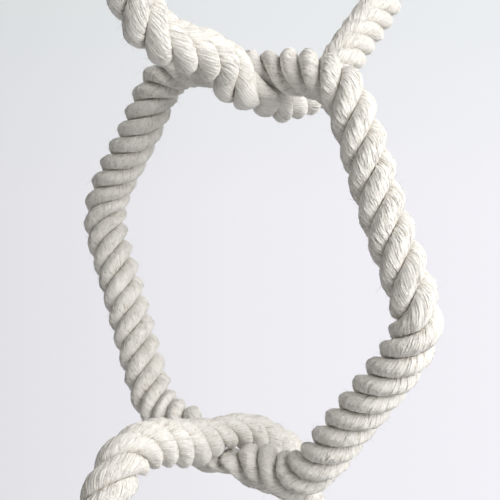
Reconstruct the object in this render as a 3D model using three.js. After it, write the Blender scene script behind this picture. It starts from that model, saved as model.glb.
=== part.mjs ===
// A bird swing made of three rope rings linked like a chain, hung from a long quick link.
// Millimetres, +Z up, origin on the inside of the link's top bend, where a hook carries it.
import * as THREE from 'three';

// Rope: three strands laid right-handed round a soft wire core
const ropeDiameter = 25;
const strandCount = 3;
const strandGap = 0.7;
const grooveDepth = 3.9;
const stepsPerTurn = 6;
const lobePoints = 5;

// Wire core of a ring and the crimp sleeve over its two ends
const wireDiameter = 2;
const wireSides = 5;
const wireStepStations = 4;
const wireStepBend = 13;
const wireEndGap = 1;
const coreClearance = 0.7;
const sleeveWall = 0.8;
const sleeveLength = 16;
const sleeveClearance = 0.3;
const sleeveSides = 8;
const sleeveReach = 16;

// Seats: a hung rope is drawn tight and stays round, and the rope that carries it is bedded flat below it
const neckShare = 0.76;
const neckFlat = 10;
const bedHeightShare = 0.5;
const bedWidthShare = 1.25;
const bedFlat = 4;
const seatFade = 14;
const seatClearance = 0.4;
const curveSteps = 2000;

// Quick link
const rodDiameter = 8;
const rodSides = 10;
const bendSteps = 10;
const linkInnerWidth = 36;
const gateGap = 27;
const nutEngagement = 5;
const nutAcrossFlats = 15;
const nutBoreClearance = 0.3;
const nutStopRoom = 1;
const nutChamfer = 1.2;

// Ring planes: turn about the vertical in degrees, each ring standing across the one above
const upperRingTurn = 54;
const middleRingTurn = -40;
const lowerRingTurn = 50;

// Ring centrelines in their own planes as [across, up], closed, clockwise from the top seat.
// A lay lists the length of one turn of the strands from an outline point on.
const upperOutline = [
  [0, 0], [36, -3], [74, -27], [116, -76], [133, -100], [134, -118], [121, -135], [100, -154],
  [81, -171], [66, -186], [50, -195], [32, -200], [11, -205], [-8, -206.2], [-19, -205.2],
  [-27.5, -200.3], [-34.5, -194], [-42.5, -190.5], [-52, -189.3], [-63, -188.8], [-77, -188],
  [-92, -184], [-103, -174], [-110, -156], [-115, -130], [-120, -98], [-110, -70], [-66, -15], [-38, -1],
];
const upperBottomSeat = 13;
const upperLay = [[0, 42], [13, 57], [21, 48]];

const middleOutline = [
  [0, 0], [26, -5], [42, -9], [54, -17], [62, -33], [79, -80], [93, -114], [97, -128], [91, -143.5],
  [78, -159.5], [56, -183.5], [37, -204.5], [22, -211.5], [8, -209.8], [-6, -208.2], [-19, -208.8],
  [-31.5, -207.6], [-40.5, -201.3], [-47, -195.5], [-58, -192], [-68, -188.5], [-77, -180], [-85, -163],
  [-103, -117], [-117, -81], [-115, -65], [-88, -27], [-71, -2], [-56, 6], [-27, 4],
];
const middleBottomSeat = 15;
const middleLay = [[0, 38], [3, 47], [7, 36]];

const lowerOutline = [
  [0, 0], [14, -2], [27, -9], [42, -16], [54, -25], [62, -41], [80, -92], [99, -128], [94, -152],
  [60, -192], [32, -205], [-26, -205], [-60, -188], [-78, -157], [-95, -127], [-106, -88], [-101, -53],
  [-93, -26.5], [-86, -13.5], [-78, -4.5], [-65, 0.5], [-49, 0.3], [-31, -2.5], [-15, -1.5],
];
const lowerLay = [[0, 40], [6, 48], [19, 36]];

const COTTON = { color: 0xe6dfd0, roughness: 0.95, metalness: 0 };
const WIRE = { color: 0xa7a9ab, roughness: 0.5, metalness: 1 };
const STEEL = { color: 0xc3c6c8, roughness: 0.3, metalness: 1 };

const ropeRadius = ropeDiameter / 2;
const wireRadius = wireDiameter / 2;
const rodRadius = rodDiameter / 2;
const sleeveBore = wireRadius + sleeveClearance;
const sleeveOuter = sleeveBore + sleeveWall;
const strandHalfAngle = Math.PI / strandCount;

const radians = THREE.MathUtils.degToRad;
const polar = (radius, angle) => [radius * Math.cos(angle), radius * Math.sin(angle)];

function mesh(name, geometry, look) {
  const piece = new THREE.Mesh(geometry, new THREE.MeshStandardMaterial(look));
  piece.name = name;
  return piece;
}

// 1 within the flat, 0 beyond flat + fade, smooth between
function fadeOut(distance, flat, fade) {
  return 1 - THREE.MathUtils.smoothstep(Math.abs(distance), flat, flat + fade);
}

// Section of one strand, its lobe pointing along the first axis: a round outer side, two flat sides
// against its neighbours and a flat inner side that lies on the core
function strandSection(coreRadius) {
  const grooveRadius = ropeRadius - grooveDepth;
  const lobeCentre = (ropeRadius ** 2 - grooveRadius ** 2) / (ropeDiameter - grooveRadius);
  const lobeRadius = ropeRadius - lobeCentre;
  const points = [];
  for (let i = 0; i < lobePoints; i++) {
    const angle = strandHalfAngle * (2 * i / (lobePoints - 1) - 1);
    const reach = lobeCentre * Math.cos(angle)
      + Math.sqrt(lobeRadius ** 2 - (lobeCentre * Math.sin(angle)) ** 2);
    points.push(polar(reach, angle));
  }
  const stepLoss = Math.cos(Math.PI / stepsPerTurn);
  const innerReach = coreRadius / Math.cos(strandHalfAngle) / stepLoss;
  points.push(polar(innerReach, strandHalfAngle), polar(innerReach, -strandHalfAngle));
  return points.map(([x, y], i) => {
    const onUpperSide = i === lobePoints - 1 || i === lobePoints;
    const onLowerSide = i === 0 || i === lobePoints + 1;
    const side = onUpperSide ? 1 : onLowerSide ? -1 : 0;
    const inset = Math.abs(side) * strandGap / 2;
    return [x + inset * Math.sin(strandHalfAngle), y - side * inset * Math.cos(strandHalfAngle)];
  });
}

// Skin over a row of sections; a closed row joins its last section to its first, an open one gets caps.
// Quads are split along the lay; flipped sides are split the other way, to clear the neighbour and the core.
function skin(sections, closed, flippedSides = []) {
  const count = sections[0].length;
  const index = [];
  const last = closed ? sections.length : sections.length - 1;
  for (let i = 0; i < last; i++) {
    const here = i * count;
    const next = ((i + 1) % sections.length) * count;
    for (let j = 0; j < count; j++) {
      const k = (j + 1) % count;
      if (flippedSides.includes(j)) {
        index.push(here + j, here + k, next + k, here + j, next + k, next + j);
      } else {
        index.push(here + j, here + k, next + j, here + k, next + k, next + j);
      }
    }
  }
  if (!closed) {
    const end = (sections.length - 1) * count;
    for (let j = 1; j < count - 1; j++) {
      index.push(0, j + 1, j, end, end + j, end + j + 1);
    }
  }
  const geometry = new THREE.BufferGeometry();
  geometry.setAttribute('position', new THREE.Float32BufferAttribute(sections.flat(2), 3));
  geometry.setIndex(index);
  geometry.computeVertexNormals();
  return geometry;
}

// Turns of the lay at the marked shares of the way round. The lay starts at the top seat, where the first
// strand rests on what carries the ring; it is eased so that a crest also faces the bottom seat and
// whole turns close the ring.
function layMarks(curve, corners, lay, bottomSeatIndex) {
  const spaced = curve.getSpacedPoints(curveSteps);
  const shareOf = (corner) => {
    const distances = spaced.map((point) => point.distanceTo(corner));
    return distances.indexOf(Math.min(...distances)) / curveSteps;
  };
  const marks = lay.map(([index, length]) => ({ index, length, share: index ? shareOf(corners[index]) : 0 }));
  if (bottomSeatIndex && !marks.some((mark) => mark.index === bottomSeatIndex)) {
    const share = shareOf(corners[bottomSeatIndex]);
    const { length } = marks.filter((mark) => mark.share < share).at(-1);
    marks.push({ index: bottomSeatIndex, length, share });
    marks.sort((a, b) => a.share - b.share);
  }
  marks.push({ share: 1 });
  marks[0].turn = 0;
  for (let i = 1; i < marks.length; i++) {
    const run = (marks[i].share - marks[i - 1].share) * curve.getLength();
    marks[i].turn = marks[i - 1].turn + run / marks[i - 1].length;
  }
  const last = marks.at(-1);
  const seat = marks.find((mark) => mark.index === bottomSeatIndex) ?? last;
  const steps = seat === last ? 1 : strandCount;
  const seatTurn = Math.round(seat.turn * steps) / steps;
  const lastTurn = Math.round(last.turn);
  const before = seatTurn / seat.turn;
  const after = (lastTurn - seatTurn) / (last.turn - seat.turn);
  const freeSeatTurn = seat.turn;
  for (const mark of marks) {
    mark.turn = mark.turn <= freeSeatTurn
      ? mark.turn * before
      : seatTurn + (mark.turn - freeSeatTurn) * after;
  }
  return marks;
}

// A ring's centreline with its stations: place, in-plane normal, rope height and width, turns of the lay
function ringStations(outline, lay, bottomSeatIndex) {
  const corners = outline.map(([across, up]) => new THREE.Vector3(across, 0, up));
  const topSeat = corners[0];
  const bottomSeat = corners[bottomSeatIndex];
  const curve = new THREE.CatmullRomCurve3(corners, true, 'centripetal');
  curve.arcLengthDivisions = curveSteps;
  const marks = layMarks(curve, corners, lay, bottomSeatIndex);
  const stations = [];
  for (let i = 0; i < marks.at(-1).turn * stepsPerTurn; i++) {
    const turn = i / stepsPerTurn;
    const next = marks.findIndex((mark) => mark.turn > turn);
    const share = THREE.MathUtils.mapLinear(
      turn, marks[next - 1].turn, marks[next].turn, marks[next - 1].share, marks[next].share);
    const place = curve.getPointAt(share);
    const tangent = curve.getTangentAt(share);
    const normal = new THREE.Vector3(-tangent.z, 0, tangent.x);
    const neck = fadeOut(topSeat.distanceTo(place), neckFlat, seatFade) * (1 - neckShare);
    const bed = bottomSeat ? fadeOut(bottomSeat.distanceTo(place), bedFlat, seatFade) : 0;
    const height = 1 - neck - bed * (1 - bedHeightShare);
    const width = 1 - neck + bed * (bedWidthShare - 1);
    stations.push({ place, tangent, normal, height, width, turn });
  }
  return stations;
}

const ringAxis = new THREE.Vector3(0, -1, 0);

// One station's section: height lies in the ring's plane, width across it
function sectionAt(station, points, angle) {
  return points.map(([x, y]) => {
    const inPlane = (x * Math.cos(angle) - y * Math.sin(angle)) * station.height;
    const across = (x * Math.sin(angle) + y * Math.cos(angle)) * station.width;
    return station.place.clone()
      .addScaledVector(station.normal, inPlane)
      .addScaledVector(ringAxis, across)
      .toArray();
  });
}

// The wire's ends meet at the station with the straightest run around it
function straightestStation(stations) {
  const reach = stepsPerTurn;
  const bend = stations.map((station, i) => {
    const before = stations[(i + stations.length - reach) % stations.length];
    const after = stations[(i + reach) % stations.length];
    return before.tangent.angleTo(station.tangent) + after.tangent.angleTo(station.tangent);
  });
  return bend.indexOf(Math.min(...bend));
}

// The wire takes a new station at each bend, and after a few stations on a straight run
function wireStations(stations, joint) {
  const kept = [];
  let last = stations[joint];
  let passed = 0;
  for (let i = 1; i < stations.length; i++) {
    const station = stations[(joint + i) % stations.length];
    const next = stations[(joint + i + 1) % stations.length];
    passed += 1;
    if (passed === wireStepStations || last.tangent.angleTo(next.tangent) > radians(wireStepBend)) {
      kept.push(station);
      last = station;
      passed = 0;
    }
  }
  return kept;
}

function ring(name, outline, lay, bottomSeatIndex) {
  const stations = ringStations(outline, lay, bottomSeatIndex);
  const joint = straightestStation(stations);
  const group = new THREE.Group();
  const jointPlace = stations[joint].place;

  for (let s = 0; s < strandCount; s++) {
    const sections = stations.map((station) => {
      const nearSleeve = fadeOut(station.place.distanceTo(jointPlace), sleeveLength / 2, sleeveReach);
      const plain = wireRadius + coreClearance;
      const coreRadius = plain + nearSleeve * (sleeveOuter + sleeveClearance - plain);
      const angle = Math.PI + 2 * Math.PI * (station.turn + s / strandCount);
      return sectionAt(station, strandSection(coreRadius / station.height), angle);
    });
    group.add(mesh(`${name}_strand_${s + 1}`, skin(sections, true, [lobePoints - 1, lobePoints]), COTTON));
  }

  const wirePoints = [];
  for (let i = 0; i < wireSides; i++) {
    wirePoints.push(polar(wireRadius, 2 * Math.PI * i / wireSides));
  }
  const round = (station) => sectionAt({ ...station, height: 1, width: 1 }, wirePoints, 0);
  const along = stations[joint].tangent;
  const wireAt = (offset) => round({
    ...stations[joint],
    place: jointPlace.clone().addScaledVector(along, offset),
  });
  const pastSleeve = (station) => station.place.distanceTo(jointPlace) > sleeveLength;
  const wireSections = [
    wireAt(wireEndGap / 2),
    wireAt(sleeveLength / 2),
    ...wireStations(stations, joint).filter(pastSleeve).map(round),
    wireAt(-sleeveLength / 2),
    wireAt(-wireEndGap / 2),
  ];
  group.add(mesh(`${name}_core_wire`, skin(wireSections, false), WIRE));

  const sleeveProfile = [
    [sleeveBore / Math.cos(Math.PI / sleeveSides), -sleeveLength / 2],
    [sleeveOuter, -sleeveLength / 2],
    [sleeveOuter, sleeveLength / 2],
    [sleeveBore / Math.cos(Math.PI / sleeveSides), sleeveLength / 2],
    [sleeveBore / Math.cos(Math.PI / sleeveSides), -sleeveLength / 2],
  ].map(([x, y]) => new THREE.Vector2(x, y));
  const sleeve = mesh(`${name}_crimp_sleeve`, new THREE.LatheGeometry(sleeveProfile, sleeveSides), STEEL);
  sleeve.position.copy(jointPlace);
  sleeve.quaternion.setFromUnitVectors(new THREE.Vector3(0, 1, 0), along);
  group.add(sleeve);
  return group;
}

// Quick link: one bent rod with a gap in its side, and a long nut that closes the gap
const bendRadius = linkInnerWidth / 2 + rodRadius;
const nutLength = gateGap + 2 * nutEngagement;
const nutTravel = gateGap + nutEngagement + nutStopRoom;
const straightLength = nutLength + nutTravel + 2 * nutStopRoom;
const topBendHeight = rodRadius - bendRadius;
const bottomBendHeight = topBendHeight - straightLength;
const gapBottom = bottomBendHeight + nutStopRoom + nutEngagement;
const linkSeatHeight = bottomBendHeight - linkInnerWidth / 2;

function quickLink() {
  const sections = [];
  const rodPoints = [];
  for (let i = 0; i < rodSides; i++) {
    rodPoints.push(polar(rodRadius, 2 * Math.PI * i / rodSides));
  }
  const addSection = (x, z, heading) => {
    sections.push(rodPoints.map(([p, q]) => [x + p * Math.cos(heading), q, z + p * Math.sin(heading)]));
  };
  addSection(bendRadius, gapBottom + gateGap, 0);
  for (let i = 0; i <= bendSteps; i++) {
    const angle = Math.PI * i / bendSteps;
    addSection(bendRadius * Math.cos(angle), topBendHeight + bendRadius * Math.sin(angle), angle);
  }
  for (let i = 0; i <= bendSteps; i++) {
    const angle = Math.PI * (1 + i / bendSteps);
    addSection(bendRadius * Math.cos(angle), bottomBendHeight + bendRadius * Math.sin(angle), angle);
  }
  addSection(bendRadius, gapBottom, 2 * Math.PI);
  return mesh('quick_link', skin(sections, false), STEEL);
}

function linkNut() {
  const outline = new THREE.Shape();
  const corner = nutAcrossFlats / 2 / Math.cos(Math.PI / 6) - nutChamfer;
  for (let i = 0; i < 6; i++) {
    const [x, y] = polar(corner, Math.PI * i / 3);
    if (i === 0) outline.moveTo(x, y);
    else outline.lineTo(x, y);
  }
  outline.closePath();
  const bore = new THREE.Path();
  bore.absarc(0, 0, (rodRadius + nutBoreClearance) / Math.cos(Math.PI / 12) + nutChamfer, 0, 2 * Math.PI, true);
  outline.holes.push(bore);
  const geometry = new THREE.ExtrudeGeometry(outline, {
    depth: nutLength - 2 * nutChamfer,
    bevelEnabled: true,
    bevelThickness: nutChamfer,
    bevelSize: nutChamfer,
    bevelSegments: 1,
    curveSegments: 6,
  });
  const nut = mesh('link_nut', geometry, STEEL);
  nut.position.set(bendRadius, 0, gapBottom - nutEngagement + nutChamfer);
  return nut;
}

// The chain: every ring hangs by its top seat, and each seat follows from the one above
function turned(group, degrees, seat) {
  group.rotation.z = radians(degrees);
  group.position.copy(seat);
  return group;
}

// A hung rope's centre above the bed it lies in; a bed that slopes lifts it a little more
function seatBelow(topSeat, outline, seatIndex, degrees) {
  const [across, up] = outline[seatIndex];
  const [acrossBefore, upBefore] = outline[seatIndex - 1];
  const [acrossAfter, upAfter] = outline[seatIndex + 1];
  const slope = Math.atan2(upAfter - upBefore, acrossBefore - acrossAfter);
  const rise = ropeRadius * (bedHeightShare + neckShare) / Math.cos(slope) + seatClearance;
  return new THREE.Vector3(across, 0, up + rise)
    .applyAxisAngle(new THREE.Vector3(0, 0, 1), radians(degrees))
    .add(topSeat);
}

const upperSeat = new THREE.Vector3(0, 0, linkSeatHeight + seatClearance + ropeRadius * neckShare);
const middleSeat = seatBelow(upperSeat, upperOutline, upperBottomSeat, upperRingTurn);
const lowerSeat = seatBelow(middleSeat, middleOutline, middleBottomSeat, middleRingTurn);

const link = new THREE.Group();
link.add(quickLink(), linkNut());
link.rotation.z = radians(upperRingTurn + 90);

const swing = new THREE.Group();
swing.add(
  link,
  turned(ring('upper', upperOutline, upperLay, upperBottomSeat), upperRingTurn, upperSeat),
  turned(ring('middle', middleOutline, middleLay, middleBottomSeat), middleRingTurn, middleSeat),
  turned(ring('lower', lowerOutline, lowerLay), lowerRingTurn, lowerSeat),
);

export default swing;
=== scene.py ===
# A bird swing of linked cotton rope rings, hung from a long quick link.
# Lengths in the constants are millimetres, and metres for the stage, the lamps and the materials.
# Meshes are made in metres, in the row frame.
import math

import bpy
import numpy as np
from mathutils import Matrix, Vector


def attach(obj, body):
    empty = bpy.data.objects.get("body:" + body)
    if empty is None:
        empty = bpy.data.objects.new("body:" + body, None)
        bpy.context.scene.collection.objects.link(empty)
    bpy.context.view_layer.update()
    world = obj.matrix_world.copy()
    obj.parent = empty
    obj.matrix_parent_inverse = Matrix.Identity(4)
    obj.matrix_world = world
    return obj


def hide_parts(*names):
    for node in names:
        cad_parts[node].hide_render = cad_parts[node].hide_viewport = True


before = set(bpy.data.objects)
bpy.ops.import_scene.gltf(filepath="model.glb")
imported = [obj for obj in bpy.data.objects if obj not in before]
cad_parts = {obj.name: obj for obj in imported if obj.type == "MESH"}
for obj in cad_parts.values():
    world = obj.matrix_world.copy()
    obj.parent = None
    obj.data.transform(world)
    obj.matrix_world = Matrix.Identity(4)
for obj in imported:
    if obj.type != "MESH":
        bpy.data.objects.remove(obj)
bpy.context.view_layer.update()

MM = 0.001
SEED = 20
rng = np.random.default_rng(SEED)

# Rope
ROPE_DIAMETER = 25
STRAND_COUNT = 3
STRAND_GAP = 0.1
GROOVE_DEPTH = 3.9
CORE_RADIUS = 1.7
SHOULDER_SHARPNESS = 10
STATIONS_PER_TURN = 24
CURVE_STEPS = 120
ROPE_RADIUS = ROPE_DIAMETER / 2
VALLEY_RADIUS = ROPE_RADIUS - GROOVE_DEPTH

# A strand's flat limits only directions that face it by more than this cosine, and is far off elsewhere
LEAST_FACING = 1e-3
FAR = 1e3

# Yarns of one strand
YARN_COUNT = 34
YARN_POINTS = 3
YARN_GROOVE = 0.30
YARN_SPREAD = 0.14
YARN_WAVES = 110
YARN_WIDTHS = (0.5, 1.6)

# Tone of the yarns: steps along the cotton's colours. The steps down in the yarn grooves and in the valleys
# between strands are painted shade.
TONE_BASE = 0.20
TONE_PER_YARN = 0.07
TONE_STREAKS = 0.12
PAINTED_YARN_GROOVE_SHADE = 0.30
PAINTED_VALLEY_SHADE = 0.25
SHADED_DEPTH = 1.0

# Seats
NECK_SHARE = 0.76
NECK_FLAT = 10
BED_HEIGHT_SHARE = 0.5
BED_WIDTH_SHARE = 1.25
BED_FLAT = 4
SEAT_FADE = 14

# Rings
# An outline is the rope's centreline in the ring's own plane, as (across, up) from the ring's top seat.
# A lay lists the length of one turn of the strands from an outline point on.
# The seat is the top seat's place in the row frame, and the bottom seat is an outline point.
# The turn, in degrees, is that of the ring's plane about the vertical.
RINGS = {
    "upper": {
        "turn": 54,
        "lay": [(0, 42), (13, 57), (21, 48)],
        "seat": (0.00, 0.00, -98.10),
        "bottom_seat": 13,
        "outline": [
            (0, 0), (36, -3), (74, -27), (116, -76), (133, -100), (134, -118), (121, -135), (100, -154),
            (81, -171), (66, -186), (50, -195), (32, -200), (11, -205), (-8, -206.2), (-19, -205.2),
            (-27.5, -200.3), (-34.5, -194), (-42.5, -190.5), (-52, -189.3), (-63, -188.8), (-77, -188),
            (-92, -184), (-103, -174), (-110, -156), (-115, -130), (-120, -98), (-110, -70), (-66, -15),
            (-38, -1),
        ],
    },
    "middle": {
        "turn": -40,
        "lay": [(0, 38), (3, 47), (7, 36)],
        "seat": (-4.70, -6.47, -288.15),
        "bottom_seat": 15,
        "outline": [
            (0, 0), (26, -5), (42, -9), (54, -17), (62, -33), (79, -80), (93, -114), (97, -128),
            (91, -143.5), (78, -159.5), (56, -183.5), (37, -204.5), (22, -211.5), (8, -209.8),
            (-6, -208.2), (-19, -208.8), (-31.5, -207.6), (-40.5, -201.3), (-47, -195.5), (-58, -192),
            (-68, -188.5), (-77, -180), (-85, -163), (-103, -117), (-117, -81), (-115, -65), (-88, -27),
            (-71, -2), (-56, 6), (-27, 4),
        ],
    },
    "lower": {
        "turn": 50,
        "lay": [(0, 40), (6, 48), (19, 36)],
        "seat": (-19.26, 5.74, -480.80),
        "bottom_seat": None,
        "outline": [
            (0, 0), (14, -2), (27, -9), (42, -16), (54, -25), (62, -41), (80, -92), (99, -128), (94, -152),
            (60, -192), (32, -205), (-26, -205), (-60, -188), (-78, -157), (-95, -127), (-106, -88),
            (-101, -53), (-93, -26.5), (-86, -13.5), (-78, -4.5), (-65, 0.5), (-49, 0.3), (-31, -2.5),
            (-15, -1.5),
        ],
    },
}

# Fibres on each ring
FIBRE_STEPS = 3
FIBRE_SIDES = 3
FIBRE_DEPTH = 0.2
FIBRE_ROOT_SHARE = 0.36
LOOSE_FIBRES = 7000
LOOSE_RADIUS = 0.08
LOOSE_TAPER = 0.7
LOOSE_RISE = 0.55
LOOSE_SIDE_LEAN = 0.6
LOOSE_BEND = 0.5
LOOSE_LENGTH_SHAPE = 2.2
LOOSE_LENGTH_SCALE = 0.8
LOOSE_TONE = 0.15
LYING_FIBRES = 9000
LYING_RADIUS = 0.16
LYING_LIFT = 0.1
LYING_DRIFT = 1
LYING_END_CUT = 0.12
LYING_TONE = 0.25
LYING_TONE_SPREAD = 0.17

# Quick link
ROD_DIAMETER = 8
LINK_INNER_WIDTH = 36
GATE_GAP = 27
NUT_ENGAGEMENT = 5
NUT_STOP_ROOM = 1
NUT_ACROSS_FLATS = 15
NUT_FLATS = 6
NUT_BORE_CLEARANCE = 0.3
NUT_COUNTERSINK = 0.6
NUT_FACE_RADIUS = 7.1
NUT_CORNER_ANGLE = 30
NUT_SIDES = 96
ROD_SIDES = 28
BEND_STEPS = 40
THREAD_PITCH = 1.25
THREAD_DEPTH = 0.45
THREAD_STEPS = 6
ROD_END_CHAMFER = 0.8
LINK_TURN = RINGS["upper"]["turn"] + 90

# Places on the quick link, from the inside of its top bend
rod_radius = ROD_DIAMETER / 2
bend_radius = LINK_INNER_WIDTH / 2 + rod_radius
nut_length = GATE_GAP + 2 * NUT_ENGAGEMENT
nut_travel = GATE_GAP + NUT_ENGAGEMENT + NUT_STOP_ROOM
top_bend = rod_radius - bend_radius
bottom_bend = top_bend - (nut_length + nut_travel + 2 * NUT_STOP_ROOM)
gate_bottom = bottom_bend + NUT_STOP_ROOM + NUT_ENGAGEMENT
gate_top = gate_bottom + GATE_GAP

# Cotton
COTTON_SURFACE = {"Roughness": 0.92, "Specular IOR Level": 0.2, "Sheen Weight": 0.15, "Sheen Roughness": 0.6}
COTTON_PATCHES = {"Scale": 60.0, "Detail": 4.0}
COTTON_PATCH_SHARE = 0.35
COTTON_SPECKS = {"Scale": 900.0, "Detail": 2.0, "Roughness": 0.6}
COTTON_BUMP = {"Strength": 0.5, "Distance": 0.0005}
COTTON_COLOURS = [
    (0.2, (0.54, 0.495, 0.43)),
    (0.6, (0.83, 0.805, 0.76)),
    (1.0, (0.93, 0.915, 0.88)),
]

# Steel
STEEL_WEAR = {"Scale": 140.0, "Detail": 6.0, "Roughness": 0.65}
STEEL_WEAR_RANGE = (0.3, 0.7)
STEEL_SCRATCHES = {"Scale": 1.0, "Detail": 5.0}
STEEL_SCRATCH_STRETCH = (900, 900, 90)
STEEL_BUMP = {"Strength": 0.12, "Distance": 0.0002}
PLATED_COLOURS = ((0.52, 0.53, 0.54), (0.72, 0.73, 0.74))
PLATED_ROUGHNESS = (0.42, 0.2)
WIRE_COLOURS = ((0.33, 0.33, 0.34), (0.5, 0.5, 0.51))
WIRE_ROUGHNESS = (0.65, 0.45)

# Stage
STAGE_HALF_WIDTH = 4
STAGE_FRONT = -4
WALL_DISTANCE = 2.6
WALL_TOP = 2.5
FLOOR_LEVEL = -1.3
WALL_ROUGHNESS = 1.0
WALL_OWN_COLOUR_SHARE = 1.0
# Painted light and shade on the wall: paler to the right, cooler and darker at the top
WALL_PAINTED_LIGHT_ACROSS = (-0.75, 0.7)
WALL_PAINTED_LIGHT_COLOURS = [
    (0.0, (0.76, 0.755, 0.79)),
    (0.5, (0.855, 0.847, 0.89)),
    (1.0, (0.90, 0.89, 0.94)),
]
WALL_PAINTED_SHADE_UPWARD = (-0.25, 0.35)
WALL_TOP_PAINTED_SHADE = (0.92, 0.965, 0.93, 1)
FLOOR_ROUGHNESS = 0.9
FLOOR_PAINT = (0.82, 0.82, 0.84, 1)
FLOOR_OWN_COLOUR = (0.66, 0.66, 0.68, 1)
FLOOR_OWN_COLOUR_SHARE = 0.6
ROOM_LIGHT = {"Color": (0.86, 0.83, 0.78, 1), "Strength": 0.06}
ROOM_WALL = {"Color": (0.84, 0.84, 0.87, 1)}

# Lamps
LAMPS = {
    "key_light": {
        "place": (0.94, -0.91, 0.15),
        "target": (0, 0, -0.38),
        "side": 1.2,
        "watts": 28.7,
        "colour": (1.0, 0.985, 0.965),
    },
    "fill_light": {
        "place": (-1.14, -0.66, 0.10),
        "target": (0, 0, -0.38),
        "side": 1.1,
        "watts": 3.0,
        "colour": (1.0, 0.98, 0.95),
    },
    "back_light": {
        "place": (-0.55, 1.30, 0.55),
        "target": (0, 0, -0.36),
        "side": 1.4,
        "watts": 12,
        "colour": (1.0, 0.99, 0.98),
    },
}

# Camera: level, looking along +Y
CAMERA_PLACE = (-8.9, -593.2, -383.9)
CAMERA_LENS = 80.5
CAMERA_SENSOR = 36
CAMERA_NEAR = 10


def smoothstep(x, low, high):
    t = np.clip((x - low) / (high - low), 0, 1)
    return t * t * (3 - 2 * t)


def unit(vectors):
    return vectors / np.linalg.norm(vectors, axis=-1, keepdims=True)


def turned(points, degrees):
    """Points turned about the vertical."""
    turn = math.radians(degrees)
    x = points[..., 0] * math.cos(turn) - points[..., 1] * math.sin(turn)
    y = points[..., 0] * math.sin(turn) + points[..., 1] * math.cos(turn)
    return np.stack([x, y, points[..., 2]], axis=-1)


def closed_curve(points):
    """Centripetal Catmull-Rom curve through the closed points: dense places and the length up to each."""
    p = np.array(points, float)
    count = len(p)
    dense = []
    steps = np.linspace(0, 1, CURVE_STEPS, endpoint=False)[:, None]
    for i in range(count):
        p0, p1, p2, p3 = p[i - 1], p[i], p[(i + 1) % count], p[(i + 2) % count]
        d0 = np.sqrt(np.linalg.norm(p1 - p0))
        d1 = np.sqrt(np.linalg.norm(p2 - p1))
        d2 = np.sqrt(np.linalg.norm(p3 - p2))
        t1 = ((p1 - p0) / d0 - (p2 - p0) / (d0 + d1) + (p2 - p1) / d1) * d1
        t2 = ((p2 - p1) / d1 - (p3 - p1) / (d1 + d2) + (p3 - p2) / d2) * d1
        c2 = -3 * p1 + 3 * p2 - 2 * t1 - t2
        c3 = 2 * p1 - 2 * p2 + t1 + t2
        dense.append(p1 + t1 * steps + c2 * steps**2 + c3 * steps**3)
    dense = np.vstack(dense)
    loop = np.vstack([dense, dense[:1]])
    lengths = np.concatenate([[0], np.cumsum(np.linalg.norm(np.diff(loop, axis=0), axis=1))])
    return loop, lengths


def slow_noise(count, waves, size):
    """A smooth closed random row with up to that many waves."""
    t = np.linspace(0, 2 * np.pi, count, endpoint=False)
    row = np.zeros(count)
    for k in range(1, waves + 1):
        row += rng.normal() * np.cos(k * t) + rng.normal() * np.sin(k * t)
    return size * row / math.sqrt(waves)


def grid_faces(rows, columns, wrap_rows):
    """Quads over a grid whose columns wrap round, and whose rows may."""
    last = rows if wrap_rows else rows - 1
    i = np.arange(last)[:, None]
    j = np.arange(columns)[None, :]
    here = i * columns
    after = ((i + 1) % rows) * columns
    right = (j + 1) % columns
    quads = np.stack(np.broadcast_arrays(here + j, here + right, after + right, after + j), axis=-1)
    return quads.reshape(-1, 4)


def make_object(name, vertices, faces, material, tone=None, smooth=True):
    mesh = bpy.data.meshes.new(name)
    mesh.from_pydata(np.asarray(vertices).tolist(), [], [list(map(int, face)) for face in faces])
    mesh.update()
    if tone is not None:
        layer = mesh.attributes.new("tone", "FLOAT", "POINT")
        layer.data.foreach_set("value", np.asarray(tone, np.float32))
    mesh.polygons.foreach_set("use_smooth", np.full(len(mesh.polygons), smooth))
    mesh.materials.append(material)
    piece = bpy.data.objects.new(name, mesh)
    bpy.context.scene.collection.objects.link(piece)
    return piece


def to_row_frame(local, ring):
    return (turned(local, ring["turn"]) + np.array(ring["seat"], float)) * MM


def lay_marks(ring, lengths):
    """Lengths along a ring with the turns of the lay there, a whole number of turns in all.
    The lay is eased so that a strand's crest faces each seat."""
    at_points = lengths[::CURVE_STEPS]
    starts, turn_lengths = zip(*ring["lay"])
    mark_lengths = np.append(at_points[list(starts)], lengths[-1])
    mark_turns = np.concatenate([[0], np.cumsum(np.diff(mark_lengths) / turn_lengths)])
    turns = round(mark_turns[-1])
    if ring["bottom_seat"] is None:
        return mark_lengths, mark_turns * (turns / mark_turns[-1])
    seat_length = at_points[ring["bottom_seat"]]
    free_turn = np.interp(seat_length, mark_lengths, mark_turns)
    seat_turn = round(free_turn * STRAND_COUNT) / STRAND_COUNT
    mark_turns = np.interp(mark_turns, [0, free_turn, mark_turns[-1]], [0, seat_turn, turns])
    at_seat = np.searchsorted(mark_lengths, seat_length)
    return np.insert(mark_lengths, at_seat, seat_length), np.insert(mark_turns, at_seat, seat_turn)


def near_seat(ring, seat_point, place, flat):
    """1 along the flat of a seat, fading to 0 beyond it."""
    away = np.linalg.norm(place - np.array(ring["outline"][seat_point], float), axis=1)
    return 1 - smoothstep(away, flat, flat + SEAT_FADE)


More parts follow.
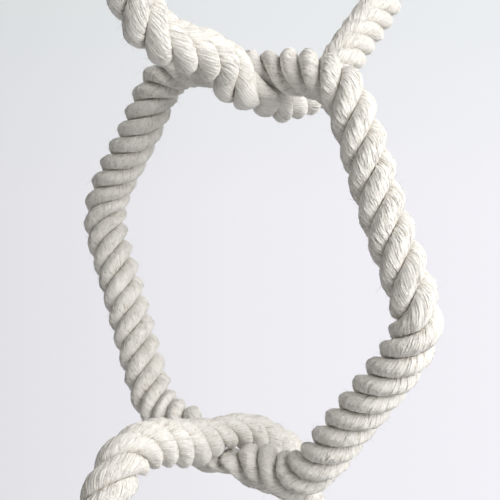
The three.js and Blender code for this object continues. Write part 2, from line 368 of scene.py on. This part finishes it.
def ring_path(ring):
    """Stations along a ring: place, in-plane normal, rope height and width, and turns of the lay so far."""
    loop, lengths = closed_curve(ring["outline"])
    mark_lengths, mark_turns = lay_marks(ring, lengths)
    turn = np.arange(round(mark_turns[-1]) * STATIONS_PER_TURN) / STATIONS_PER_TURN
    reached = np.interp(turn, mark_turns, mark_lengths)
    place = np.stack([np.interp(reached, lengths, loop[:, k]) for k in range(2)], axis=1)
    tangent = unit(np.roll(place, -1, axis=0) - np.roll(place, 1, axis=0))
    normal = np.stack([-tangent[:, 1], tangent[:, 0]], axis=1)
    neck = near_seat(ring, 0, place, NECK_FLAT) * (1 - NECK_SHARE)
    bed = np.zeros(len(turn))
    if ring["bottom_seat"] is not None:
        bed = near_seat(ring, ring["bottom_seat"], place, BED_FLAT)
    height = 1 - neck - bed * (1 - BED_HEIGHT_SHARE)
    width = 1 - neck + bed * (BED_WIDTH_SHARE - 1)
    return place, normal, height, width, turn


def section_points(path, along_section, across_section):
    """Section coordinates laid onto the ring's stations, in the ring's own frame."""
    place, normal, height, width, _ = path
    in_plane = along_section * height[:, None]
    across = across_section * width[:, None]
    x = place[:, 0, None] + normal[:, 0, None] * in_plane
    z = place[:, 1, None] + normal[:, 1, None] * in_plane
    return np.stack([x, -across, z], axis=-1)


def strand_reach(angle, core_radius):
    """A strand's own centre, as its distance from the rope's, and the distance from there to its side.
    The strand is a round lobe, pressed flat by its neighbours and the core."""
    centre = (ROPE_RADIUS**2 - VALLEY_RADIUS**2) / (ROPE_DIAMETER - VALLEY_RADIUS)
    half = math.pi / STRAND_COUNT
    to_neighbour = centre * math.sin(half) - STRAND_GAP / 2
    flats = [
        (np.sin(angle - half), to_neighbour),
        (np.sin(-angle - half), to_neighbour),
        (-np.cos(angle), centre - core_radius),
    ]
    reaches = [np.full_like(angle, ROPE_RADIUS - centre)]
    for facing, distance in flats:
        reach = distance / np.maximum(facing, LEAST_FACING)
        reaches.append(np.where(facing > LEAST_FACING, reach, FAR))
    total = sum(reach**-SHOULDER_SHARPNESS for reach in reaches)
    return centre, total ** (-1 / SHOULDER_SHARPNESS)


def strand(name, ring, path, index, material):
    """One strand: its yarns wind back against the lay, so they run along the rope on its outside."""
    _, _, height, _, lay = path
    count = len(lay)
    turns = count // STATIONS_PER_TURN
    _, lobe = strand_reach(np.zeros(1), CORE_RADIUS)
    yarn_turns = round(turns * ROPE_RADIUS / float(lobe[0]))
    yarn_width = rng.uniform(*YARN_WIDTHS, YARN_COUNT)
    yarn_width /= yarn_width.sum()
    yarn_start = np.cumsum(yarn_width) - yarn_width
    across_yarn = np.arange(YARN_POINTS) / YARN_POINTS
    column_share = (yarn_start[:, None] + yarn_width[:, None] * across_yarn[None, :]).reshape(-1)
    station_share = np.arange(count) / count
    own = 2 * np.pi * (column_share[None, :] - yarn_turns * station_share[:, None])
    core = CORE_RADIUS / height[:, None]
    centre, reach = strand_reach((own + np.pi) % (2 * np.pi) - np.pi, core)

    columns = YARN_COUNT * YARN_POINTS
    in_groove = (np.arange(columns) % YARN_POINTS == 0).astype(float)[None, :]
    yarn_of = np.arange(columns) // YARN_POINTS
    yarn_sizes = [slow_noise(count, YARN_WAVES, YARN_SPREAD) for _ in range(YARN_COUNT)]
    yarn_size = np.stack(yarn_sizes, axis=1)[:, yarn_of]
    size = reach + yarn_size - YARN_GROOVE * in_groove - YARN_SPREAD

    angle = math.pi + 2 * np.pi * (lay + index / STRAND_COUNT)
    x = centre + size * np.cos(own)
    y = size * np.sin(own)
    turned_x = x * np.cos(angle)[:, None] - y * np.sin(angle)[:, None]
    turned_y = x * np.sin(angle)[:, None] + y * np.cos(angle)[:, None]
    local = section_points(path, turned_x, turned_y)
    outward = np.sqrt(turned_x**2 + turned_y**2)

    yarn_tone = rng.normal(0, 1, YARN_COUNT)[yarn_of][None, :] + yarn_size / YARN_SPREAD
    streaks = rng.normal(0, 1, (count, YARN_COUNT))[:, yarn_of]
    # Painted shade deep in the valleys where the strands meet
    shaded = 1 - smoothstep(outward, VALLEY_RADIUS, VALLEY_RADIUS + SHADED_DEPTH)
    tone = TONE_BASE + TONE_PER_YARN * yarn_tone + TONE_STREAKS * streaks
    # Painted shade: the tone steps down in the yarn grooves and deep in the valleys between strands
    tone -= PAINTED_YARN_GROOVE_SHADE * in_groove + PAINTED_VALLEY_SHADE * shaded
    faces = grid_faces(count, columns, True)
    piece = make_object(name, to_row_frame(local, ring).reshape(-1, 3), faces, material, tone.reshape(-1))
    return piece, local, outward


def fibre_mesh(name, ring, lines, radius, side, tone, material):
    """Thin spindles along the lines, closed at both ends."""
    heading = unit(lines[:, -1] - lines[:, 0])
    turn = 2 * np.pi * np.arange(FIBRE_SIDES)[None, :, None] / FIBRE_SIDES
    spoke = np.cos(turn) * side[:, None] + np.sin(turn) * np.cross(heading, side)[:, None]
    vertices = lines[:, :, None] + radius[None, :, None, None] * spoke[:, None]
    sides = grid_faces(FIBRE_STEPS + 1, FIBRE_SIDES, False)
    per_fibre = (FIBRE_STEPS + 1) * FIBRE_SIDES
    faces = []
    for base in range(0, len(lines) * per_fibre, per_fibre):
        faces.extend(sides + base)
        faces.append(range(base + FIBRE_SIDES - 1, base - 1, -1))
        faces.append(range(base + per_fibre - FIBRE_SIDES, base + per_fibre))
    tones = np.repeat(tone, per_fibre)
    return make_object(name, to_row_frame(vertices.reshape(-1, 3), ring), faces, material, tones)


def fibres(ring_name, ring, surfaces, path, material):
    """Fibres on the outside of the strands: loose ones that stand off, and ones that lie on the yarns.
    The seats have none, as they are worn off there."""
    place, _, height, width, _ = path
    stations = len(place)
    clear = np.flatnonzero((height == 1) & (width == 1))
    local = np.stack([surface for surface, _ in surfaces])
    outward = np.stack([reach for _, reach in surfaces])
    shown = np.argwhere(outward[:, clear] > FIBRE_ROOT_SHARE * ROPE_DIAMETER)
    count = LOOSE_FIBRES + LYING_FIBRES
    strand_of, station, column = shown[rng.choice(len(shown), count, replace=False)].T
    station = clear[station]
    root = local[strand_of, station, column]
    axis_point = np.stack([place[station, 0], np.zeros(count), place[station, 1]], axis=1)
    out = unit(root - axis_point)
    along = unit(local[strand_of, (station + 1) % stations, column] - root)
    side = unit(np.cross(out, along))
    steps = np.arange(FIBRE_STEPS + 1)
    t = steps / FIBRE_STEPS

    loose = slice(0, LOOSE_FIBRES)
    lean = rng.normal(0, 1, (LOOSE_FIBRES, 2))
    sideways = LOOSE_SIDE_LEAN * lean[:, 1:] * side[loose]
    heading = unit(LOOSE_RISE * out[loose] + lean[:, :1] * along[loose] + sideways)
    bend = rng.normal(0, LOOSE_BEND, (LOOSE_FIBRES, 3))
    length = rng.gamma(LOOSE_LENGTH_SHAPE, LOOSE_LENGTH_SCALE, (LOOSE_FIBRES, 1, 1))
    bow = t[None, :, None] * heading[:, None] + t[None, :, None]**2 / 2 * bend[:, None]
    loose_lines = (root - FIBRE_DEPTH * out)[loose, None] + length * bow
    loose_radius = LOOSE_RADIUS * (1 - LOOSE_TAPER * t)
    loose_tone = np.full(LOOSE_FIBRES, LOOSE_TONE)

    lying = slice(LOOSE_FIBRES, count)
    drift = rng.integers(-LYING_DRIFT, LYING_DRIFT + 1, (LYING_FIBRES, 1))
    stops = (station[lying, None] + steps) % stations
    columns = (column[lying, None] + drift * steps) % local.shape[2]
    lying_lines = local[strand_of[lying, None], stops, columns] + LYING_LIFT * out[lying, None]
    half_wave = LYING_END_CUT + (1 - 2 * LYING_END_CUT) * t
    lying_radius = LYING_RADIUS * np.sin(np.pi * half_wave)
    lying_tone = rng.normal(LYING_TONE, LYING_TONE_SPREAD, LYING_FIBRES)

    return [
        fibre_mesh(f"{ring_name}_{kind}_fibres", ring, lines, radius, side[group], tone, material)
        for kind, group, lines, radius, tone in (
            ("loose", loose, loose_lines, loose_radius, loose_tone),
            ("lying", lying, lying_lines, lying_radius, lying_tone),
        )
    ]


def quick_link(material):
    """One bent rod; the straight above the gate and the stub below it are threaded."""
    around = 2 * np.pi * np.arange(ROD_SIDES) / ROD_SIDES
    plain = np.full(ROD_SIDES, rod_radius)
    chamfered = plain - ROD_END_CHAMFER
    rows = []

    def add_row(x, z, heading, radius):
        reach = radius * np.cos(around)
        rows.append(np.stack([
            x + reach * math.cos(heading),
            radius * np.sin(around),
            z + reach * math.sin(heading),
        ], axis=-1))

    def threaded(z):
        wave = np.abs(((z / THREAD_PITCH - around / (2 * np.pi)) % 1) * 2 - 1)
        return rod_radius - THREAD_DEPTH * (1 - wave)

    step = THREAD_PITCH / THREAD_STEPS
    add_row(bend_radius, gate_top, 0, chamfered)
    for z in np.arange(gate_top + ROD_END_CHAMFER, top_bend - step, step):
        add_row(bend_radius, z, 0, threaded(z))
    for level, half_turns in ((top_bend, 0), (bottom_bend, 1)):
        for i in range(BEND_STEPS + 1):
            angle = math.pi * (half_turns + i / BEND_STEPS)
            add_row(bend_radius * math.cos(angle), level + bend_radius * math.sin(angle), angle, plain)
    for z in np.arange(bottom_bend + step, gate_bottom - ROD_END_CHAMFER, step):
        add_row(bend_radius, z, 2 * math.pi, threaded(z))
    add_row(bend_radius, gate_bottom, 2 * math.pi, chamfered)
    faces = [tuple(reversed(face)) for face in grid_faces(len(rows), ROD_SIDES, False)]
    last = (len(rows) - 1) * ROD_SIDES
    faces.append(tuple(range(ROD_SIDES)))
    faces.append(tuple(last + k for k in reversed(range(ROD_SIDES))))
    vertices = turned(np.array(rows), LINK_TURN).reshape(-1, 3) * MM
    return make_object("link_rod", vertices, faces, material)


def long_nut(material):
    """Hexagonal barrel with turned-off corners at both ends and a bored, countersunk middle."""
    around = 2 * np.pi * np.arange(NUT_SIDES) / NUT_SIDES
    flat_turn = 2 * math.pi / NUT_FLATS
    hexagon = NUT_ACROSS_FLATS / 2 / np.cos(around % flat_turn - flat_turn / 2)
    slope = (hexagon - NUT_FACE_RADIUS) * math.tan(math.radians(NUT_CORNER_ANGLE))
    bottom = gate_bottom - NUT_ENGAGEMENT
    top = bottom + nut_length
    bore = rod_radius + NUT_BORE_CLEARANCE
    sink = bore + NUT_COUNTERSINK
    loops = [
        (sink, bottom),
        (NUT_FACE_RADIUS, bottom),
        (hexagon, bottom + slope),
        (hexagon, top - slope),
        (NUT_FACE_RADIUS, top),
        (sink, top),
        (bore, top - NUT_COUNTERSINK),
        (bore, bottom + NUT_COUNTERSINK),
    ]
    level = np.ones(NUT_SIDES)
    rows = [
        np.stack([bend_radius + radius * np.cos(around), radius * np.sin(around), z * level], axis=-1)
        for radius, z in loops
    ]
    faces = grid_faces(len(rows), NUT_SIDES, True)
    vertices = turned(np.array(rows), LINK_TURN).reshape(-1, 3) * MM
    return make_object("barrel_nut", vertices, faces, material, smooth=False)


def set_values(made, values):
    """Sets a node's own properties, and its inputs where it has no property of that name."""
    for key, value in values.items():
        if hasattr(made, key):
            setattr(made, key, value)
        else:
            made.inputs[key].default_value = value


def node(tree, kind, **values):
    made = tree.nodes.new(kind)
    set_values(made, values)
    return made


def colour_ramp(tree, stops):
    """A colour ramp through (position, colour) stops, in rising order."""
    ramp = tree.nodes.new("ShaderNodeValToRGB")
    elements = ramp.color_ramp.elements
    for element, (position, colour) in ((elements[0], stops[0]), (elements[1], stops[-1])):
        element.position = position
        element.color = (*colour, 1)
    for position, colour in stops[1:-1]:
        elements.new(position).color = (*colour, 1)
    return ramp


def new_material(name):
    material = bpy.data.materials.new(name)
    material.use_nodes = True
    tree = material.node_tree
    return material, tree, tree.nodes["Principled BSDF"]


def cotton_material():
    """Undyed cotton: the mesh's tone, soft patches and fine specks choose the colour. The tone holds painted
    shade in the yarn grooves and in the valleys between strands.
    """
    material, tree, shader = new_material("natural_cotton")
    set_values(shader, COTTON_SURFACE)
    place = tree.nodes.new("ShaderNodeTexCoord")
    tone = node(tree, "ShaderNodeAttribute", attribute_name="tone")
    patches = node(tree, "ShaderNodeTexNoise", **COTTON_PATCHES)
    specks = node(tree, "ShaderNodeTexNoise", **COTTON_SPECKS)
    tree.links.new(place.outputs["Object"], patches.inputs["Vector"])
    tree.links.new(place.outputs["Object"], specks.inputs["Vector"])
    patched = node(tree, "ShaderNodeMath", operation="MULTIPLY_ADD")
    patched.inputs[1].default_value = COTTON_PATCH_SHARE
    tree.links.new(patches.outputs["Fac"], patched.inputs[0])
    tree.links.new(tone.outputs["Fac"], patched.inputs[2])
    specked = node(tree, "ShaderNodeMath", operation="ADD")
    tree.links.new(specks.outputs["Fac"], specked.inputs[0])
    tree.links.new(patched.outputs["Value"], specked.inputs[1])
    ramp = colour_ramp(tree, COTTON_COLOURS)
    tree.links.new(specked.outputs["Value"], ramp.inputs["Fac"])
    tree.links.new(ramp.outputs["Color"], shader.inputs["Base Color"])
    bump = node(tree, "ShaderNodeBump", **COTTON_BUMP)
    tree.links.new(specks.outputs["Fac"], bump.inputs["Height"])
    tree.links.new(bump.outputs["Normal"], shader.inputs["Normal"])
    return material


def steel_material(name, colours, roughness):
    """Metal with fine wear and scratches: colour and roughness run from worn to bright."""
    material, tree, shader = new_material(name)
    shader.inputs["Metallic"].default_value = 1.0
    place = tree.nodes.new("ShaderNodeTexCoord")
    wear = node(tree, "ShaderNodeTexNoise", **STEEL_WEAR)
    scratches = node(tree, "ShaderNodeTexNoise", **STEEL_SCRATCHES)
    stretch = node(tree, "ShaderNodeMapping", Scale=STEEL_SCRATCH_STRETCH)
    tree.links.new(place.outputs["Object"], wear.inputs["Vector"])
    tree.links.new(place.outputs["Object"], stretch.inputs["Vector"])
    tree.links.new(stretch.outputs["Vector"], scratches.inputs["Vector"])
    ramp = colour_ramp(tree, list(zip(STEEL_WEAR_RANGE, colours)))
    tree.links.new(wear.outputs["Fac"], ramp.inputs["Fac"])
    tree.links.new(ramp.outputs["Color"], shader.inputs["Base Color"])
    rough = tree.nodes.new("ShaderNodeMapRange")
    rough.inputs["To Min"].default_value, rough.inputs["To Max"].default_value = roughness
    tree.links.new(wear.outputs["Fac"], rough.inputs["Value"])
    tree.links.new(rough.outputs["Result"], shader.inputs["Roughness"])
    bump = node(tree, "ShaderNodeBump", **STEEL_BUMP)
    tree.links.new(scratches.outputs["Fac"], bump.inputs["Height"])
    tree.links.new(bump.outputs["Normal"], shader.inputs["Normal"])
    return material


def seen_directly(tree):
    """1 for rays that show a background, from the camera, in a mirror or through glass.
    0 for rays that carry its light."""
    light_path = tree.nodes.new("ShaderNodeLightPath")
    seen = light_path.outputs["Is Camera Ray"]
    for kind in ("Is Glossy Ray", "Is Transmission Ray"):
        either = node(tree, "ShaderNodeMath", operation="MAXIMUM")
        tree.links.new(seen, either.inputs[0])
        tree.links.new(light_path.outputs[kind], either.inputs[1])
        seen = either.outputs["Value"]
    return seen


def show_own_colour(tree, shader, glow, share):
    """Rays that show a background see that share of the plain colour, and the lit paint for the rest."""
    seen_share = node(tree, "ShaderNodeMath", operation="MULTIPLY")
    seen_share.inputs[1].default_value = share
    tree.links.new(seen_directly(tree), seen_share.inputs[0])
    mix = tree.nodes.new("ShaderNodeMixShader")
    tree.links.new(seen_share.outputs["Value"], mix.inputs["Fac"])
    tree.links.new(shader.outputs["BSDF"], mix.inputs[1])
    tree.links.new(glow.outputs["Emission"], mix.inputs[2])
    tree.links.new(mix.outputs["Shader"], tree.nodes["Material Output"].inputs["Surface"])


def share_between(tree, value, limits):
    """How far the value has come from the first limit to the second, 0 to 1."""
    made = tree.nodes.new("ShaderNodeMapRange")
    made.inputs["From Min"].default_value, made.inputs["From Max"].default_value = limits
    tree.links.new(value, made.inputs["Value"])
    return made.outputs["Result"]


def backdrop_material():
    """A matt pale wall that shows the camera its own colour.
    It is paler to the right, and cooler and darker at the top: painted light on the right, painted shade at
    the top."""
    material, tree, shader = new_material("backdrop_paint_and_painted_light")
    shader.inputs["Roughness"].default_value = WALL_ROUGHNESS
    place = tree.nodes.new("ShaderNodeTexCoord")
    split = tree.nodes.new("ShaderNodeSeparateXYZ")
    tree.links.new(place.outputs["Object"], split.inputs["Vector"])
    # Painted light across the wall, and painted shade towards the top
    ramp = colour_ramp(tree, WALL_PAINTED_LIGHT_COLOURS)
    tree.links.new(share_between(tree, split.outputs["X"], WALL_PAINTED_LIGHT_ACROSS), ramp.inputs["Fac"])
    shade = node(tree, "ShaderNodeMix", data_type="RGBA", blend_type="MULTIPLY")
    shade.inputs["B"].default_value = WALL_TOP_PAINTED_SHADE
    tree.links.new(share_between(tree, split.outputs["Z"], WALL_PAINTED_SHADE_UPWARD), shade.inputs["Factor"])
    tree.links.new(ramp.outputs["Color"], shade.inputs["A"])
    tree.links.new(shade.outputs["Result"], shader.inputs["Base Color"])
    glow = tree.nodes.new("ShaderNodeEmission")
    tree.links.new(shade.outputs["Result"], glow.inputs["Color"])
    show_own_colour(tree, shader, glow, WALL_OWN_COLOUR_SHARE)
    return material


def floor_material():
    """Matt pale paint; the lit part of what is seen keeps the shadows."""
    material, tree, shader = new_material("floor_paint")
    shader.inputs["Base Color"].default_value = FLOOR_PAINT
    shader.inputs["Roughness"].default_value = FLOOR_ROUGHNESS
    glow = node(tree, "ShaderNodeEmission", Color=FLOOR_OWN_COLOUR)
    show_own_colour(tree, shader, glow, FLOOR_OWN_COLOUR_SHARE)
    return material


def studio_world():
    """A dim even room that shows as a pale wall where the stage ends."""
    world = bpy.data.worlds.new("studio")
    world.use_nodes = True
    tree = world.node_tree
    room_light = tree.nodes["Background"]
    set_values(room_light, ROOM_LIGHT)
    room_wall = node(tree, "ShaderNodeBackground", **ROOM_WALL)
    mix = tree.nodes.new("ShaderNodeMixShader")
    tree.links.new(seen_directly(tree), mix.inputs["Fac"])
    tree.links.new(room_light.outputs["Background"], mix.inputs[1])
    tree.links.new(room_wall.outputs["Background"], mix.inputs[2])
    tree.links.new(mix.outputs["Shader"], tree.nodes["World Output"].inputs["Surface"])
    return world


def plane(name, corners, material):
    mesh = bpy.data.meshes.new(name)
    mesh.from_pydata(corners, [], [(0, 1, 2, 3)])
    mesh.materials.append(material)
    piece = bpy.data.objects.new(name, mesh)
    bpy.context.scene.collection.objects.link(piece)


def softbox(name, place, target, side, watts, colour):
    """A square lamp that faces its target."""
    lamp = bpy.data.lights.new(name, "AREA")
    lamp.shape = "SQUARE"
    lamp.size = side
    lamp.energy = watts
    lamp.color = colour
    holder = bpy.data.objects.new(name, lamp)
    holder.location = place
    holder.rotation_euler = (Vector(target) - Vector(place)).to_track_quat("-Z", "Y").to_euler()
    bpy.context.scene.collection.objects.link(holder)


# The swing
cotton = cotton_material()
plated = steel_material("plated_steel", PLATED_COLOURS, PLATED_ROUGHNESS)
wire = steel_material("soft_wire", WIRE_COLOURS, WIRE_ROUGHNESS)

for ring_name, ring in RINGS.items():
    body = f"{ring_name}_ring"
    path = ring_path(ring)
    surfaces = []
    for index in range(STRAND_COUNT):
        cad_name = f"{ring_name}_strand_{index + 1}"
        piece, local, outward = strand(f"{ring_name}_rope_strand_{index + 1}", ring, path, index, cotton)
        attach(piece, body)
        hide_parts(cad_name)
        surfaces.append((local, outward))
    for fuzz in fibres(ring_name, ring, surfaces, path, cotton):
        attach(fuzz, body)
    for part, look in (("core_wire", wire), ("crimp_sleeve", plated)):
        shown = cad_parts[f"{ring_name}_{part}"]
        shown.data.materials.clear()
        shown.data.materials.append(look)

rod = quick_link(plated)
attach(rod, "link")
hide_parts("quick_link")
nut = long_nut(plated)
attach(nut, "nut")
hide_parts("link_nut")

# The stage
wall_left = (-STAGE_HALF_WIDTH, WALL_DISTANCE)
wall_right = (STAGE_HALF_WIDTH, WALL_DISTANCE)
floor_left = (-STAGE_HALF_WIDTH, STAGE_FRONT)
floor_right = (STAGE_HALF_WIDTH, STAGE_FRONT)
plane("backdrop", [
    (*wall_left, FLOOR_LEVEL),
    (*wall_right, FLOOR_LEVEL),
    (*wall_right, WALL_TOP),
    (*wall_left, WALL_TOP),
], backdrop_material())
plane("floor", [
    (*floor_left, FLOOR_LEVEL),
    (*floor_right, FLOOR_LEVEL),
    (*wall_right, FLOOR_LEVEL),
    (*wall_left, FLOOR_LEVEL),
], floor_material())
bpy.context.scene.world = studio_world()
for lamp_name, lamp_values in LAMPS.items():
    softbox(lamp_name, **lamp_values)

camera_data = bpy.data.cameras.new("camera")
camera_data.lens = CAMERA_LENS
camera_data.sensor_width = CAMERA_SENSOR
camera_data.clip_start = CAMERA_NEAR * MM
camera = bpy.data.objects.new("camera", camera_data)
camera.location = Vector(CAMERA_PLACE) * MM
camera.rotation_euler = (math.pi / 2, 0, 0)
bpy.context.scene.collection.objects.link(camera)
bpy.context.scene.camera = camera
bpy.context.scene.view_settings.view_transform = "Standard"
